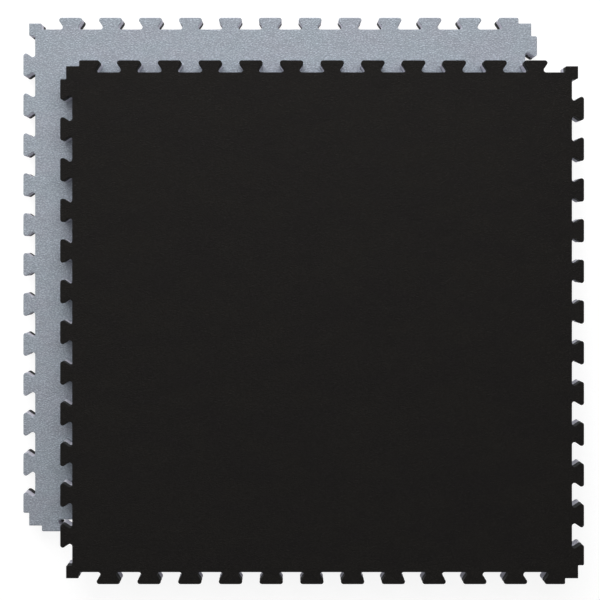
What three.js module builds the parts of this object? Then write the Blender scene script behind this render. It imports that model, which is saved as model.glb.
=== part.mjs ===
// Two loose interlocking foam floor mats, one laid over the other.
// Each mat is two sheets of EVA foam heat-bonded face to face, a thick grey one and a thinner
// black one, cut through together along a dovetailed outline. It can be laid either side up:
// the lower mat lies grey side up and the upper one black side up.
// Millimetres, +Z up. The origin is on the floor, under the middle of the pair.

import * as THREE from 'three';

// Cover size of one mat, between the outer faces of its corner squares
const matSize = 1000;

// Thickness of the two sheets of foam
const greySheet = 22;
const blackSheet = 18;

// Dovetail teeth along each side
const toothPitch = 79.5;
const toothReach = 11.5; // from the cover line out to the tip
const socketDepth = 12; // from the cover line in to the root
const flankAngle = THREE.MathUtils.degToRad(34.5); // from square to the side
const interlockPlay = 1.4; // between a head and the socket that it is pressed into, along the side
const tipRadius = 5;
const rootRadius = 4.8;

// Straight step at each end of a side: a bare corner at one end, a corner square at the other
const cornerStep = 25;
const stepRadius = 3;
const squareRadius = 2;

// How far the upper mat is moved over the lower one
const moveRight = 82;
const moveForward = 92;

// Straight pieces in each rounded corner
const arcSteps = 3;

// Colours of the foam
const greyFoam = 0xa2a9b2;
const blackFoam = 0x211f20;

// Half widths of a tooth: on the cover line, and at its head and neck before they are rounded
const flankRelief = interlockPlay / 4;
const waistHalf = toothPitch / 4 - flankRelief;
const headHalf = waistHalf + toothReach * Math.tan(flankAngle);
const neckHalf = waistHalf - socketDepth * Math.tan(flankAngle);

// As many teeth as bring the corner step closest to the waist of the first one. Opposite sides
// are half a pitch apart, so that the teeth of one mat stand at the sockets of the next.
const teeth = Math.round((matSize - 2 * (cornerStep + waistHalf)) / toothPitch + 0.5);
const firstCentre = (matSize - (teeth - 0.5) * toothPitch) / 2;

const thickness = greySheet + blackSheet;

// One side as corners, from the bare corner to the corner square: how far along the side,
// how far out from the cover line, and the radius of the corner.
function sideCorners() {
  const corners = [{ along: 0, out: 0, radius: 0 }];
  const stepSide = cornerStep + flankRelief;
  corners.push({ along: stepSide, out: 0, radius: 0 });
  corners.push({ along: stepSide, out: toothReach, radius: stepRadius });
  for (let i = 0; i < teeth; i += 1) {
    const centre = firstCentre + i * toothPitch;
    if (i > 0) {
      corners.push({ along: centre - neckHalf, out: -socketDepth, radius: rootRadius });
      corners.push({ along: centre - headHalf, out: toothReach, radius: tipRadius });
    }
    corners.push({ along: centre + headHalf, out: toothReach, radius: tipRadius });
    corners.push({ along: centre + neckHalf, out: -socketDepth, radius: rootRadius });
  }
  const squareSide = matSize - cornerStep + flankRelief;
  corners.push({ along: squareSide, out: -socketDepth, radius: stepRadius });
  corners.push({ along: squareSide, out: 0, radius: squareRadius });
  corners.push({ along: matSize, out: 0, radius: 0 });
  return corners;
}

// The corners of the whole outline, clockwise as seen with the black side up. Bare corners are
// at the back left and front right, corner squares at the other two, so that every side meets
// the side of a neighbour.
function outlineCorners() {
  const half = matSize / 2;
  const placed = (place) => sideCorners().map(({ along, out, radius }) => ({
    at: place(along, out),
    radius,
  }));
  const back = placed((along, out) => new THREE.Vector2(along - half, half + out));
  const right = placed((along, out) => new THREE.Vector2(half + out, along - half));
  const front = placed((along, out) => new THREE.Vector2(half - along, -half - out));
  const left = placed((along, out) => new THREE.Vector2(-half - out, half - along));
  const sides = [back, right.reverse(), front, left.reverse()];
  return sides.flatMap((side) => side.slice(0, -1));
}

// The points of one corner, an arc that touches both of its sides
function roundedCorner(before, corner, after) {
  const { at, radius } = corner;
  if (radius === 0) {
    return [at];
  }
  const back = before.at.clone().sub(at).normalize();
  const ahead = after.at.clone().sub(at).normalize();
  const halfOpening = Math.acos(THREE.MathUtils.clamp(back.dot(ahead), -1, 1)) / 2;
  const toCentre = back.clone().add(ahead).setLength(radius / Math.sin(halfOpening));
  const centre = at.clone().add(toCentre);
  const start = back.clone().multiplyScalar(radius / Math.tan(halfOpening)).add(at).sub(centre);
  const sweep = (Math.PI - 2 * halfOpening) * Math.sign(ahead.cross(back));
  const points = [];
  for (let i = 0; i <= arcSteps; i += 1) {
    const spoke = start.clone().rotateAround(new THREE.Vector2(), sweep * i / arcSteps);
    points.push(spoke.add(centre));
  }
  return points;
}

function matOutline() {
  const corners = outlineCorners();
  const points = corners.flatMap((corner, i) => {
    const before = corners[(i + corners.length - 1) % corners.length];
    const after = corners[(i + 1) % corners.length];
    return roundedCorner(before, corner, after);
  });
  return new THREE.Shape(points);
}

// A sheet of matt foam, cut to the outline of a mat
function foamSheet(name, height, bottom, color) {
  const geometry = new THREE.ExtrudeGeometry(matOutline(), { depth: height, bevelEnabled: false });
  const material = new THREE.MeshStandardMaterial({ color, roughness: 0.75, metalness: 0 });
  const mesh = new THREE.Mesh(geometry, material);
  mesh.name = name;
  mesh.position.z = bottom;
  return mesh;
}

// A mat with its middle at the group's origin, black side up
function mat(name) {
  const underside = -thickness / 2;
  const group = new THREE.Group();
  group.add(foamSheet(`${name}_grey_sheet`, greySheet, underside, greyFoam));
  group.add(foamSheet(`${name}_black_sheet`, blackSheet, underside + greySheet, blackFoam));
  return group;
}

// The lower mat is turned over, grey side up
const lowerMat = mat('lower_mat');
lowerMat.rotation.y = Math.PI;
lowerMat.position.set(-moveRight / 2, moveForward / 2, thickness / 2);

const upperMat = mat('upper_mat');
upperMat.position.set(moveRight / 2, -moveForward / 2, thickness * 1.5);

const pair = new THREE.Group();
pair.add(lowerMat, upperMat);

export default pair;
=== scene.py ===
"""Two loose interlocking foam floor mats, one laid over the other, dressed for a studio picture.

Each mat is a grey and a black sheet of foam, heat-bonded face to face and cut through together.
Every sheet is one closed mesh: an embossed skin with a softly pressed rim, a cut wall with fine
cells, and the bonded side. Metres, +Z up.
"""

import math

import bpy
import numpy as np
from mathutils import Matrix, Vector, geometry, noise


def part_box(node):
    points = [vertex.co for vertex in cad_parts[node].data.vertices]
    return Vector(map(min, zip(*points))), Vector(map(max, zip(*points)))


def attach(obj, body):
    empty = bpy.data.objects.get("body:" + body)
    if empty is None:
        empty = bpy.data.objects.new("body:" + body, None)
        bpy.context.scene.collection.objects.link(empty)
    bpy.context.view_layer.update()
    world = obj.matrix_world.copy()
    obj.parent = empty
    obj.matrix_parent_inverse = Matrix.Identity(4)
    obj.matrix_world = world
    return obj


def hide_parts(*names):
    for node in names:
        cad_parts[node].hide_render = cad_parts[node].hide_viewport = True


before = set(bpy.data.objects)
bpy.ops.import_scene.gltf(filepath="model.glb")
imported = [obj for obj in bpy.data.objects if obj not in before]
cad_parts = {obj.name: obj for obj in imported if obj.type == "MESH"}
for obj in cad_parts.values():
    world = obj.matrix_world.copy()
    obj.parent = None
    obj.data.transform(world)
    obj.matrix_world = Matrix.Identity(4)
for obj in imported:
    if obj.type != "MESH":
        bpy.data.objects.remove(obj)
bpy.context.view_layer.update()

MM = 0.001

# Outline of a mat, as the solids have it
MAT_SIZE = 1000 * MM
TOOTH_PITCH = 79.5 * MM
TOOTH_REACH = 11.5 * MM
SOCKET_DEPTH = 12 * MM
FLANK_ANGLE = math.radians(34.5)
INTERLOCK_PLAY = 1.4 * MM
TIP_RADIUS = 5 * MM
ROOT_RADIUS = 4.8 * MM
CORNER_STEP = 25 * MM
STEP_RADIUS = 3 * MM
SQUARE_RADIUS = 2 * MM

# Radius of the corners that the solids have sharp, and the least that any corner is drawn in to
CRISP_RADIUS = 0.8 * MM
LEAST_RADIUS = 0.1 * MM

# Section of a sheet at its edge
RIM_IN = 2.2 * MM  # how far the rounded rim reaches into the face
RIM_DOWN = 1.6 * MM  # and down the wall
WALL_HOLLOW = 0.35 * MM  # a cut wall is slightly hollow
BOND_GROOVE = 0.25 * MM  # depth of the line between two bonded sheets
BOND_LIP = 0.6 * MM  # height over which the wall comes out of it
LIP_INSET = 0.1 * BOND_GROOVE  # of the wall where it has come out

# Soft unevenness of a face
SKIN_DIP = 0.25 * MM
DIP_WIDTH = 45 * MM
DIP_FALLOFF = 0.8  # how fast its finer waves grow weaker
DIP_OCTAVES = 2
DIP_OCTAVE_STEP = 2.0  # how much finer one octave is than the last

# How fine the meshes are
ARC_STEPS = 7
SMALL_ARC_STEPS = 3  # in corners of STEP_RADIUS or less
WALL_STEPS = 5
RIM_STEPS = 4
EDGE_SPACING = 3.6 * MM
FACE_SPACING = 7 * MM
BOND_SPACING = 40 * MM
EDGE_CLEARANCE = 0.6  # of a face's inner points from its edge, in spacings
MOST_CLEARANCE = 6 * MM
SHARP_ANGLE = math.radians(50)  # the shading is smooth over any lesser angle

# Triangulation: kept to the inside of a ring, with points this near in metres taken as one
INSIDE_ONLY = 1
NEARNESS = 1e-7

# Places of the two materials on a sheet
SKIN_INDEX = 0
CUT_INDEX = 1

# Camera: looks straight down. In the photograph the tooth walls run towards a point up and left
# of the picture's middle, so it stands over that point and its frame is shifted back.
CAMERA_PLACE = (-32 * MM, 108 * MM, 2080 * MM)
FRAME_MIDDLE = (-2.2 * MM, -2.5 * MM, 80 * MM)
CAMERA_LENS = 61.5
CAMERA_SENSOR = 36

# Softboxes: where each stands, what it aims at, its width and height in metres, and its watts
LAMPS = {
    "back_softbox": ((-1.2, 2.6, 2.2), (0, 0.1, 0), (2.4, 1.8), 62),
    "side_softbox": ((-2.2, 0.1, 1.6), (0, 0, 0), (1.6, 1.2), 11),
    "near_softbox": ((0.4, 1.2, 1.5), (0, 0.1, 0), (1.6, 1.6), 21),
    "front_fill": ((0.4, -2.8, 0.8), (0, 0, 0), (2.4, 1.0), 10),
}
AMBIENT = 0.25  # strength of the white world as a light

# Floor: a plain white that the camera sees, over a diffuse floor that takes the shadow
FLOOR_REACH = 14  # metres from the mats to its edges
FLOOR_DOWN = 0.2 * MM
FLOOR_COLOUR = (0.9, 0.9, 0.9)
FLOOR_ROUGHNESS = 0.9
FLOOR_GLOSS = 0.1
FLOOR_WHITE = 0.72  # share of the plain white near the mats
FLOOR_GLOW = 1.17  # strength of the plain white
FLOOR_NEAR = 0.9  # from here out the share grows
FLOOR_FAR = 2.6  # to the whole, from here on

# Foam colours: of the skins, of the clouds in them, and of the cut walls
GREY = (0.38, 0.426, 0.482)
GREY_TINT = (0.388, 0.402, 0.464)
GREY_CUT = (0.62, 0.618, 0.69)
BLACK = (0.0092, 0.0078, 0.0072)
BLACK_TINT = (0.0116, 0.0102, 0.0082)
BLACK_CUT = (0.034, 0.036, 0.037)

# Roughness of the lowest and of the highest places, and strength of the gloss
GREY_ROUGHNESS = (0.72, 0.56)
BLACK_ROUGHNESS = (0.84, 0.68)
CUT_ROUGHNESS = (0.95, 0.82)
GREY_GLOSS = 0.3
BLACK_GLOSS = 0.2
CUT_GLOSS = 0.2

# Embossing of the skins
PEBBLE = 4.1 * MM
PEBBLE_SCATTER = 0.8  # 0 is a regular grid of pebbles and 1 the most uneven
PEBBLE_STRETCH = 1.4  # drawn out along X by this, and narrowed along Y
PEBBLE_TURN = math.radians(31)  # keeps the rows of pebbles off the directions of the sides
PEBBLE_BEND = 0.8  # how far the creases wander, in pebbles
BEND_WAVES = 0.9  # waves of that to a pebble
CREASE = 0.22  # half the width of a crease, in pebbles
GRAIN_WAVES = 2.4  # waves of the fine grain to a pebble
GRAIN_RISE = 0.3  # height of the grain, against that of a pebble
WRINKLE = 2.8 * MM
WRINKLE_RISE = 1.8  # height of the wrinkles, against that of a pebble
PEBBLE_MIDDLE = 0.8  # middle height of the pebbles alone
HEIGHT_REACH = 0.8  # from the middle height of it all to the lowest and to the highest
GREY_RELIEF = 1.3 * MM
BLACK_RELIEF = 1.5 * MM

# Painted shade in the deepest creases and painted light on the highest tops, as brightness, and
# clouds of the tint
GREY_PAINTED_SHADING = (0.74, 1.26)
BLACK_PAINTED_SHADING = (0.65, 1.35)
CLOUD_WIDTH = 50 * MM
CLOUD_RANGE = (0.35, 0.65)  # noise where a cloud begins, and where it is thickest
CLOUD_SHARE = 0.5  # share of the tint where a cloud is thickest

# Cut walls: what each texture adds to the height, over which range of its own values
CELL = 1.3 * MM
CELL_RANGE = (0.1, 0.55)
CELL_RISE = 0.5
SMALL_CELLS = 2.3  # to the width of a large one
SMALL_CELL_RANGE = (0.1, 0.6)
SMALL_CELL_RISE = 0.3
DRAG_WIDTH = 1.7 * MM  # of the lines that the cutting leaves down a wall
DRAG_HEIGHT = 25 * MM
DRAG_RANGE = (0.35, 0.65)
DRAG_RISE = 0.2
CELL_RELIEF = 0.25 * MM
# Painted shade in the low places of a cut wall, and painted light on its high ones, against its
# colour
CELL_PAINTED_SHADE = 0.78
CELL_PAINTED_LIGHT = 1.08
WALL_CLOUD_WIDTH = 12 * MM
WALL_CLOUD_RANGE = (0.3, 0.7)
WALL_CLOUD_SHARE = 0.25

# Octaves of the noises, and how strong the finer ones of a grain are
FINE_DETAIL = 3.0
WALL_CLOUD_DETAIL = 2.0
SOFT_DETAIL = 1.0
GRAIN_ROUGHNESS = 0.6


# Outline

def side_corners():
    """Corners of one side, from its bare corner to its corner square.

    Each has its place along the side, how far it lies out from the cover line, and its radius.
    """
    relief = INTERLOCK_PLAY / 4
    # Half widths of a tooth: on the cover line, and at its head and neck before they are rounded
    waist = TOOTH_PITCH / 4 - relief
    head = waist + TOOTH_REACH * math.tan(FLANK_ANGLE)
    neck = waist - SOCKET_DEPTH * math.tan(FLANK_ANGLE)
    # Opposite sides are half a pitch apart: the teeth of one mat stand at the sockets of the next
    teeth = round((MAT_SIZE - 2 * (CORNER_STEP + waist)) / TOOTH_PITCH + 0.5)
    first = (MAT_SIZE - (teeth - 0.5) * TOOTH_PITCH) / 2
    step = CORNER_STEP + relief
    square = MAT_SIZE - CORNER_STEP + relief
    corners = [(0, 0, CRISP_RADIUS), (step, 0, CRISP_RADIUS), (step, TOOTH_REACH, STEP_RADIUS)]
    for i in range(teeth):
        centre = first + i * TOOTH_PITCH
        if i > 0:
            corners.append((centre - neck, -SOCKET_DEPTH, ROOT_RADIUS))
            corners.append((centre - head, TOOTH_REACH, TIP_RADIUS))
        corners.append((centre + head, TOOTH_REACH, TIP_RADIUS))
        corners.append((centre + neck, -SOCKET_DEPTH, ROOT_RADIUS))
    corners.append((square, -SOCKET_DEPTH, STEP_RADIUS))
    corners.append((square, 0, SQUARE_RADIUS))
    corners.append((MAT_SIZE, 0, CRISP_RADIUS))
    return corners


def mat_corners(turned):
    """Places and radii of the corners of a mat round its middle, anticlockwise seen from above."""
    half = MAT_SIZE / 2
    side = side_corners()
    back = [(along - half, half + out, radius) for along, out, radius in side]
    right = [(half + out, along - half, radius) for along, out, radius in side]
    front = [(half - along, -half - out, radius) for along, out, radius in side]
    left = [(-half - out, half - along, radius) for along, out, radius in side]
    clockwise = []
    for run in (back, right[::-1], front, left[::-1]):
        clockwise += run[:-1]
    if turned:
        corners = [(-x, y, radius) for x, y, radius in clockwise]
    else:
        corners = clockwise[::-1]
    places = np.array([(x, y) for x, y, radius in corners])
    radii = np.array([radius for x, y, radius in corners])
    return places, radii


def unit(vectors):
    """Vectors brought to a length of 1."""
    return vectors / np.linalg.norm(vectors, axis=-1, keepdims=True)


def rotated(vector, angle):
    """A vector turned to the left."""
    x, y = vector
    cosine = math.cos(angle)
    sine = math.sin(angle)
    return np.array([x * cosine - y * sine, x * sine + y * cosine])


class Outline:
    """Parallel outlines of one mat, with as many points in each, in the same order."""

    def __init__(self, turned):
        self.places, self.radii = mat_corners(turned)
        # Directions of the sides after and before each corner, and square to them into the mat
        self.along = unit(np.roll(self.places, -1, axis=0) - self.places)
        self.before = np.roll(self.along, 1, axis=0)
        inward = np.stack([-self.along[:, 1], self.along[:, 0]], axis=1)
        self.inward_before = np.roll(inward, 1, axis=0)
        # Where each corner goes when the outline moves in by 1
        share = 1 + (inward * self.inward_before).sum(axis=1, keepdims=True)
        self.mitre = (inward + self.inward_before) / share
        # Angle that the outline turns through at each corner, to the left where it is positive
        cross = self.before[:, 0] * self.along[:, 1] - self.before[:, 1] * self.along[:, 0]
        self.turn = np.arctan2(cross, (self.before * self.along).sum(axis=1))
        # Straight steps from the end of each arc to the next one
        ends, starts = self.arc_ends(0)
        gaps = np.linalg.norm(np.roll(starts, -1, axis=0) - ends, axis=1)
        self.steps = [max(1, round(gap / EDGE_SPACING)) for gap in gaps]

    def inset_corners(self, inset):
        """Places and radii of the corners of the outline, moved inwards by inset."""
        grown = self.radii - inset * np.sign(self.turn)
        return self.places + inset * self.mitre, np.maximum(grown, LEAST_RADIUS)

    def arc_ends(self, inset):
        """Where the arc of each corner ends, and where it starts."""
        corners, radii = self.inset_corners(inset)
        reach = (radii * np.tan(np.abs(self.turn) / 2))[:, None]
        return corners + self.along * reach, corners - self.before * reach

    def ring(self, inset):
        """Points of the outline, moved inwards by inset."""
        radii = self.inset_corners(inset)[1]
        ends, starts = self.arc_ends(inset)
        points = []
        for i, (start, radius, turn) in enumerate(zip(starts, radii, self.turn)):
            centre = start + self.inward_before[i] * np.sign(turn) * radius
            spoke = start - centre
            steps = ARC_STEPS if self.radii[i] > STEP_RADIUS else SMALL_ARC_STEPS
            for k in range(steps + 1):
                points.append(centre + rotated(spoke, turn * k / steps))
            following = starts[(i + 1) % len(starts)]
            for k in range(1, self.steps[i]):
                points.append(ends[i] + (following - ends[i]) * k / self.steps[i])
        return np.array(points)


# Meshes

def offset_rows(spacing):
    """Points of even triangles over the whole of a mat."""
    reach = MAT_SIZE / 2 + TOOTH_REACH
    row_gap = spacing * math.sqrt(3) / 2
    rows = math.ceil(reach / row_gap)
    columns = math.ceil(reach / spacing) + 1
    across = np.arange(-columns, columns) * spacing
    points = []
    for j in range(-rows, rows + 1):
        shift = spacing / 2 if j % 2 else 0
        points.append(np.stack([across + shift, np.full(len(across), j * row_gap)], axis=1))
    return np.concatenate(points)


def inside(points, ring, clearance):
    """Which points lie inside a closed ring, more than clearance from its points."""
    following = np.roll(ring, -1, axis=0)
    run = following - ring
    kept = np.zeros(len(points), bool)
    for k, p in enumerate(points):
        # A point is inside where a line from it to the right crosses the ring an odd number of times
        crossed = (ring[:, 1] > p[1]) != (following[:, 1] > p[1])
        x = ring[crossed, 0] + (p[1] - ring[crossed, 1]) / run[crossed, 1] * run[crossed, 0]
        clear = ((ring - p) ** 2).sum(axis=1).min() > clearance ** 2
        kept[k] = (x > p[0]).sum() % 2 == 1 and clear
    return kept


def filled(ring, spacing):
    """Points inside a ring, and the triangles over the ring's points and these."""
    grid = offset_rows(spacing)
    grid = grid[inside(grid, ring, min(EDGE_CLEARANCE * spacing, MOST_CLEARANCE))]
    points = [Vector(p) for p in np.concatenate([ring, grid])]
    count = len(ring)
    edges = [(i, (i + 1) % count) for i in range(count)]
    made = geometry.delaunay_2d_cdt(points, edges, [], INSIDE_ONLY, NEARNESS)
    faces = made[2]
    sources = made[3]  # of each point made, the points given that it stands for
    triangles = [tuple(sources[v][0] for v in face) for face in faces]
    return grid, triangles


def edge_section(thickness):
    """(inset, height above the bond) of each ring of a sheet, from the bond to its flat face."""
    section = [(BOND_GROOVE, 0), (LIP_INSET, BOND_LIP)]
    wall_top = thickness - RIM_DOWN
    for k in range(1, WALL_STEPS + 1):
        share = k / WALL_STEPS
        height = BOND_LIP + (wall_top - BOND_LIP) * share
        section.append((WALL_HOLLOW * math.sin(math.pi * share), height))
    for k in range(1, RIM_STEPS + 1):
        angle = math.pi / 2 * k / RIM_STEPS
        section.append((RIM_IN * (1 - math.cos(angle)), wall_top + RIM_DOWN * math.sin(angle)))
    return section


def edge_quads(count, rows):
    """Faces between neighbouring rings of count points each."""
    quads = []
    for row in range(rows):
        near = row * count
        far = near + count
        for i in range(count):
            j = (i + 1) % count
            quads.append((near + i, near + j, far + j, far + i))
    return quads


def renumbered(triangles, count, ring_start, grid_start):
    """Triangles of a filled ring of count points, by where its points are in the whole mesh."""
    def place(v):
        return v + ring_start if v < count else v - count + grid_start
    return [tuple(place(v) for v in triangle) for triangle in triangles]


def soft_dip(place):
    """How far a face lies below its highest places, from 0 to 1."""
    waves = noise.fractal(Vector(place) / DIP_WIDTH, DIP_FALLOFF, DIP_OCTAVE_STEP, DIP_OCTAVES)
    return min(max(0.5 + 0.5 * waves, 0), 1)


def sheet_mesh(name, outline, middle, bond, thickness, faces_up):
    """The closed mesh of a sheet that lies above or below its bond, and which faces are its skin."""
    way = 1 if faces_up else -1
    section = edge_section(thickness)
    rings = [outline.ring(inset) for inset, height in section]
    count = len(rings[0])
    rows = len(rings) - 1
    verts = []
    for ring, (inset, height) in zip(rings, section):
        verts += [(x, y, bond + way * height) for x, y in ring + middle]

    grid, triangles = filled(rings[-1], FACE_SPACING)
    skin_faces = renumbered(triangles, count, rows * count, len(verts))
    surface = bond + way * section[-1][1]
    for x, y in grid + middle:
        verts.append((x, y, surface - way * SKIN_DIP * soft_dip((x, y, surface))))

    grid, triangles = filled(rings[0], BOND_SPACING)
    bond_faces = [face[::-1] for face in renumbered(triangles, count, 0, len(verts))]
    verts += [(x, y, bond) for x, y in grid + middle]

    faces = edge_quads(count, rows) + skin_faces + bond_faces
    if not faces_up:
        faces = [face[::-1] for face in faces]
    mesh = bpy.data.meshes.new(name)
    mesh.from_pydata(verts, [], faces)
    is_skin = np.ones(len(faces), bool)
    is_skin[:(WALL_STEPS + 1) * count] = False
    is_skin[len(faces) - len(bond_faces):] = False
    return mesh, is_skin


def foam_sheet(body, tone, outline, faces_up, skin, cut):
    """A sheet of a mat in the place of its solid, its skin up or down."""
    name = f"{body}_{tone}_foam"
    node = f"{body}_{tone}_sheet"
    low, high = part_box(node)
    middle = np.array([(low.x + high.x) / 2, (low.y + high.y) / 2])
    bond = low.z if faces_up else high.z
    mesh, is_skin = sheet_mesh(name, outline, middle, bond, high.z - low.z, faces_up)
    mesh.materials.append(skin)
    mesh.materials.append(cut)
    indices = np.where(is_skin, SKIN_INDEX, CUT_INDEX).astype(np.int32)
    mesh.polygons.foreach_set("material_index", indices)
    mesh.shade_smooth()
    mesh.set_sharp_from_angle(angle=SHARP_ANGLE)
    mesh.update()
    piece = bpy.data.objects.new(name, mesh)
    bpy.context.scene.collection.objects.link(piece)
    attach(piece, body)
    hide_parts(node)
    return piece


# Nodes of the materials

def start_material(name):
    """A new material, its node tree and its shader."""
    material = bpy.data.materials.new(name)
    material.use_nodes = True
    return material, material.node_tree, material.node_tree.nodes["Principled BSDF"]


def add(tree, kind, **inputs):
    """A new node, with some of its inputs set, their names written with _ for a space."""
    node = tree.nodes.new(kind)
    for key, value in inputs.items():
        node.inputs[key.replace("_", " ")].default_value = value
    return node


def calculated(tree, operation, *terms):
    """The result of an operation on sockets and numbers."""
    node = tree.nodes.new("ShaderNodeMath")
    node.operation = operation
    for socket, term in zip(node.inputs, terms):
        if isinstance(term, float):
            socket.default_value = term
        else:
            tree.links.new(term, socket)
    return node.outputs["Value"]


def scaled(tree, value, low, high, to_low, to_high):
    """value, brought from one range to another and kept inside it."""
    node = add(tree, "ShaderNodeMapRange", From_Min=low, From_Max=high, To_Min=to_low, To_Max=to_high)
    tree.links.new(value, node.inputs["Value"])
    return node.outputs["Result"]


def raised(tree, height, value, rise):
    """height, with value times rise on top."""
    return calculated(tree, "MULTIPLY_ADD", value, rise, height)


def mixed(tree, share, first, second):
    """A colour between two, by share."""
    node = tree.nodes.new("ShaderNodeMix")
    node.data_type = "RGBA"
    tree.links.new(share, node.inputs["Factor"])
    for socket, colour in ((node.inputs["A"], first), (node.inputs["B"], second)):
        if isinstance(colour, tuple):
            socket.default_value = (*colour, 1)
        else:
            tree.links.new(colour, socket)
    return node.outputs["Result"]


def emboss(tree, shader, height, relief, roughness, gloss):
    """Gives a surface its relief, its roughness by height and its gloss."""
    tree.links.new(scaled(tree, height, 0, 1, *roughness), shader.inputs["Roughness"])
    bump = add(tree, "ShaderNodeBump", Strength=1.0, Distance=relief)
    tree.links.new(height, bump.inputs["Height"])
    tree.links.new(bump.outputs["Normal"], shader.inputs["Normal"])
    shader.inputs["Specular IOR Level"].default_value = gloss


# Materials

def skin_height(tree, place):
    """Height of the wrinkled pebbles and the fine creases between them, from 0 to 1."""
    bend = add(tree, "ShaderNodeTexNoise", Scale=BEND_WAVES / PEBBLE, Detail=FINE_DETAIL)
    warp = add(tree, "ShaderNodeVectorMath")
    warp.operation = "MULTIPLY_ADD"
    warp.inputs[1].default_value = (PEBBLE_BEND * PEBBLE,) * 3
    cells = add(tree, "ShaderNodeTexVoronoi", Scale=1 / PEBBLE, Randomness=PEBBLE_SCATTER)
    cells.feature = "DISTANCE_TO_EDGE"
    grain = add(tree, "ShaderNodeTexNoise", Scale=GRAIN_WAVES / PEBBLE, Detail=FINE_DETAIL,
                Roughness=GRAIN_ROUGHNESS)
    wrinkles = add(tree, "ShaderNodeTexNoise", Scale=1 / WRINKLE, Detail=SOFT_DETAIL)
    for node in (bend, grain, wrinkles):
        tree.links.new(place, node.inputs["Vector"])
    tree.links.new(bend.outputs["Color"], warp.inputs[0])
    tree.links.new(place, warp.inputs[2])
    tree.links.new(warp.outputs["Vector"], cells.inputs["Vector"])
    height = scaled(tree, cells.outputs["Distance"], 0, CREASE, 0, 1)
    height.node.interpolation_type = "SMOOTHSTEP"
    height = raised(tree, height, grain.outputs["Fac"], GRAIN_RISE)
    height = raised(tree, height, wrinkles.outputs["Fac"], WRINKLE_RISE)
    middle = PEBBLE_MIDDLE + (GRAIN_RISE + WRINKLE_RISE) / 2
    return scaled(tree, height, middle - HEIGHT_REACH, middle + HEIGHT_REACH, 0, 1)


def skin_material(name, colour, tint, painted_shading, relief, roughness, gloss):
    """The moulded face of a sheet: painted shade darkens its creases and painted light brightens its
    tops, and it is faintly clouded.
    """
    material, tree, shader = start_material(name)
    place = tree.nodes.new("ShaderNodeTexCoord").outputs["Object"]
    drawn_out = add(tree, "ShaderNodeMapping", Rotation=(0, 0, PEBBLE_TURN),
                    Scale=(1 / PEBBLE_STRETCH, PEBBLE_STRETCH, 1))
    tree.links.new(place, drawn_out.inputs["Vector"])
    height = skin_height(tree, drawn_out.outputs["Vector"])
    clouds = add(tree, "ShaderNodeTexNoise", Scale=1 / CLOUD_WIDTH, Detail=SOFT_DETAIL)
    tree.links.new(drawn_out.outputs["Vector"], clouds.inputs["Vector"])
    cloud = scaled(tree, clouds.outputs["Fac"], *CLOUD_RANGE, 0, CLOUD_SHARE)
    # The colour is scaled by height: painted shade in the creases, painted light on the tops
    shade_painted = add(tree, "ShaderNodeVectorMath")
    shade_painted.operation = "SCALE"
    tree.links.new(mixed(tree, cloud, colour, tint), shade_painted.inputs["Vector"])
    tree.links.new(scaled(tree, height, 0, 1, *painted_shading), shade_painted.inputs["Scale"])
    tree.links.new(shade_painted.outputs["Vector"], shader.inputs["Base Color"])
    emboss(tree, shader, height, relief, roughness, gloss)
    return material


def cut_material(name, colour):
    """A cut wall of foam: fine closed cells of two sizes, and faint drag lines from the cutting, with
    painted shade in the cell pits and painted light on the higher places.
    """
    material, tree, shader = start_material(name)
    place = tree.nodes.new("ShaderNodeTexCoord").outputs["Object"]
    cells = add(tree, "ShaderNodeTexVoronoi", Scale=1 / CELL, Randomness=1.0)
    small = add(tree, "ShaderNodeTexVoronoi", Scale=SMALL_CELLS / CELL, Randomness=1.0)
    upright = add(tree, "ShaderNodeMapping", Scale=(1 / DRAG_WIDTH, 1 / DRAG_WIDTH, 1 / DRAG_HEIGHT))
    drag = add(tree, "ShaderNodeTexNoise", Scale=1.0, Detail=FINE_DETAIL, Roughness=GRAIN_ROUGHNESS)
    clouds = add(tree, "ShaderNodeTexNoise", Scale=1 / WALL_CLOUD_WIDTH, Detail=WALL_CLOUD_DETAIL)
    for node in (cells, small, clouds, upright):
        tree.links.new(place, node.inputs["Vector"])
    tree.links.new(upright.outputs["Vector"], drag.inputs["Vector"])
    height = scaled(tree, cells.outputs["Distance"], *CELL_RANGE, 0, CELL_RISE)
    small_height = scaled(tree, small.outputs["Distance"], *SMALL_CELL_RANGE, 0, 1)
    height = raised(tree, height, small_height, SMALL_CELL_RISE)
    height = raised(tree, height, scaled(tree, drag.outputs["Fac"], *DRAG_RANGE, 0, 1), DRAG_RISE)
    # Painted shade where the wall is low, in the cell pits, and painted light where it is high
    painted_pit_shade = tuple(c * CELL_PAINTED_SHADE for c in colour)
    light = tuple(c * CELL_PAINTED_LIGHT for c in colour)
    cloud = scaled(tree, clouds.outputs["Fac"], *WALL_CLOUD_RANGE, 0, WALL_CLOUD_SHARE)
    clouded = mixed(tree, cloud, mixed(tree, height, painted_pit_shade, light), painted_pit_shade)
    tree.links.new(clouded, shader.inputs["Base Color"])
    emboss(tree, shader, height, CELL_RELIEF, CUT_ROUGHNESS, CUT_GLOSS)
    return material


def seen_directly(tree, *others):
    """1 for camera rays and the other kinds named, 0 for those that light the object."""
    path = tree.nodes.new("ShaderNodeLightPath")
    either = path.outputs["Is Camera Ray"]
    for name in others:
        either = calculated(tree, "MAXIMUM", either, path.outputs[name])
    return either


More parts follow.
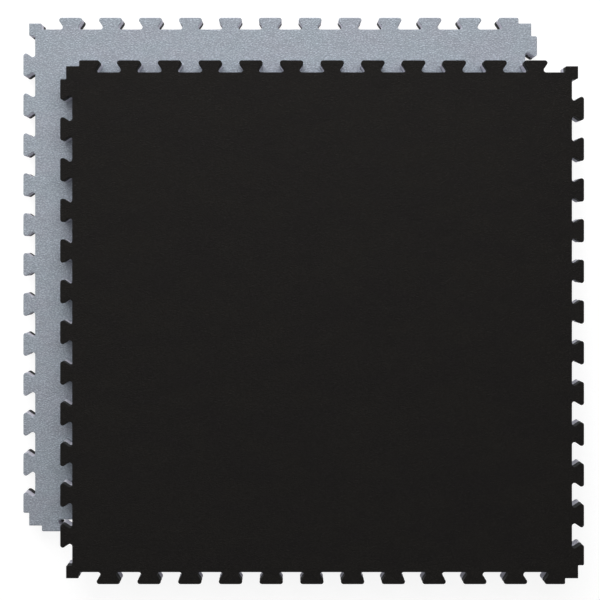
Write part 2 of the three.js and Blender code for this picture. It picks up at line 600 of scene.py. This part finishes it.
def floor_material():
    """The plain white, mixed over the diffuse floor, more of it further out."""
    material, tree, shader = start_material("pale_floor")
    shader.inputs["Base Color"].default_value = (*FLOOR_COLOUR, 1)
    shader.inputs["Roughness"].default_value = FLOOR_ROUGHNESS
    shader.inputs["Specular IOR Level"].default_value = FLOOR_GLOSS
    white = add(tree, "ShaderNodeEmission", Color=(1, 1, 1, 1), Strength=FLOOR_GLOW)
    place = tree.nodes.new("ShaderNodeTexCoord").outputs["Object"]
    distance = tree.nodes.new("ShaderNodeVectorMath")
    distance.operation = "LENGTH"
    tree.links.new(place, distance.inputs[0])
    near = scaled(tree, distance.outputs["Value"], FLOOR_NEAR, FLOOR_FAR, FLOOR_WHITE, 1)
    seen = seen_directly(tree, "Is Glossy Ray", "Is Transmission Ray")
    mix = tree.nodes.new("ShaderNodeMixShader")
    tree.links.new(calculated(tree, "MULTIPLY", near, seen), mix.inputs["Fac"])
    tree.links.new(shader.outputs["BSDF"], mix.inputs[1])
    tree.links.new(white.outputs["Emission"], mix.inputs[2])
    tree.links.new(mix.outputs["Shader"], tree.nodes["Material Output"].inputs["Surface"])
    return material


# Floor, lamps and camera

def make_floor():
    corners = [(-1, -1), (1, -1), (1, 1), (-1, 1)]
    verts = [(x * FLOOR_REACH, y * FLOOR_REACH, -FLOOR_DOWN) for x, y in corners]
    mesh = bpy.data.meshes.new("floor")
    mesh.from_pydata(verts, [], [(0, 1, 2, 3)])
    mesh.materials.append(floor_material())
    floor = bpy.data.objects.new("floor", mesh)
    bpy.context.scene.collection.objects.link(floor)


def make_world():
    """Plain white to the camera, and a weak even light on the mats."""
    world = bpy.data.worlds.new("studio")
    bpy.context.scene.world = world
    world.use_nodes = True
    tree = world.node_tree
    background = tree.nodes["Background"]
    background.inputs["Color"].default_value = (1, 1, 1, 1)
    seen = seen_directly(tree, "Is Transmission Ray")
    tree.links.new(scaled(tree, seen, 0, 1, AMBIENT, 1), background.inputs["Strength"])


def area_lamp(name, place, aim, size, power):
    """A softbox that the camera doesn't see."""
    lamp = bpy.data.lights.new(name, "AREA")
    lamp.shape = "RECTANGLE"
    lamp.size, lamp.size_y = size
    lamp.energy = power
    thing = bpy.data.objects.new(name, lamp)
    thing.location = place
    thing.rotation_euler = (Vector(aim) - Vector(place)).to_track_quat("-Z", "Y").to_euler()
    thing.visible_camera = False
    bpy.context.scene.collection.objects.link(thing)


def make_camera():
    data = bpy.data.cameras.new("camera")
    data.lens = CAMERA_LENS
    data.sensor_width = CAMERA_SENSOR
    camera = bpy.data.objects.new("camera", data)
    camera.location = CAMERA_PLACE
    x, y, z = Vector(FRAME_MIDDLE) - Vector(CAMERA_PLACE)
    frame_width = -z * CAMERA_SENSOR / CAMERA_LENS
    data.shift_x = x / frame_width
    data.shift_y = y / frame_width
    bpy.context.scene.collection.objects.link(camera)
    bpy.context.scene.camera = camera


make_camera()
make_floor()
make_world()
for lamp_name, (place, aim, size, power) in LAMPS.items():
    area_lamp(lamp_name, place, aim, size, power)
bpy.context.scene.view_settings.view_transform = "Standard"

grey_skin = skin_material("grey_skin", GREY, GREY_TINT, GREY_PAINTED_SHADING,
                          GREY_RELIEF, GREY_ROUGHNESS, GREY_GLOSS)
black_skin = skin_material("black_skin", BLACK, BLACK_TINT, BLACK_PAINTED_SHADING,
                           BLACK_RELIEF, BLACK_ROUGHNESS, BLACK_GLOSS)
grey_cut = cut_material("grey_cut", GREY_CUT)
black_cut = cut_material("black_cut", BLACK_CUT)
foams = {"grey": (grey_skin, grey_cut), "black": (black_skin, black_cut)}

# A mat lies black side up, or grey side up where it is turned over
for body, turned in (("lower_mat", True), ("upper_mat", False)):
    outline = Outline(turned)
    for tone, (skin, cut) in foams.items():
        faces_up = (tone == "grey") == turned
        sheet = foam_sheet(body, tone, outline, faces_up, skin, cut)
